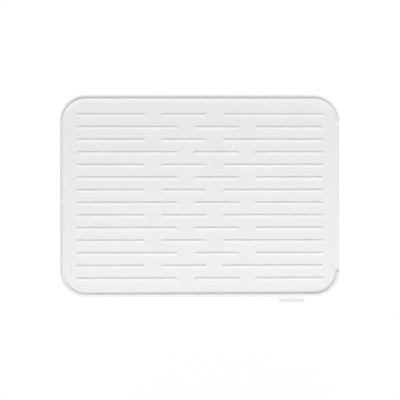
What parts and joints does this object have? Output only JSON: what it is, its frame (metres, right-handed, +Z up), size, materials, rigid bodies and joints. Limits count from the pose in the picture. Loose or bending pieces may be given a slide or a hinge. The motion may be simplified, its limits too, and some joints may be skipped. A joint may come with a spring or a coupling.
{
  "type": "dish drying mat",
  "caption": "Thin silicone dish drying mat with staggered raised ribs, a low rim round three sides, one open side that drains into a sink, and a small lifting tab at the front.",
  "frame": {"origin": "on the underside, at the middle of the mat's rounded rectangle", "axes": "+Z up from the worktop, +X towards the open side that drains into the sink, -Y towards the front with the tab"},
  "size_m": [0.44, 0.3248, 0.0071],
  "materials": {
    "mat_silicone": "satin white silicone with a fine mould texture",
    "tab_silicone": "satin white silicone, bare"
  },
  "bodies": {
    "root": {"mat": "mat_silicone", "tab": "tab_silicone"}
  },
  "joints": []
}
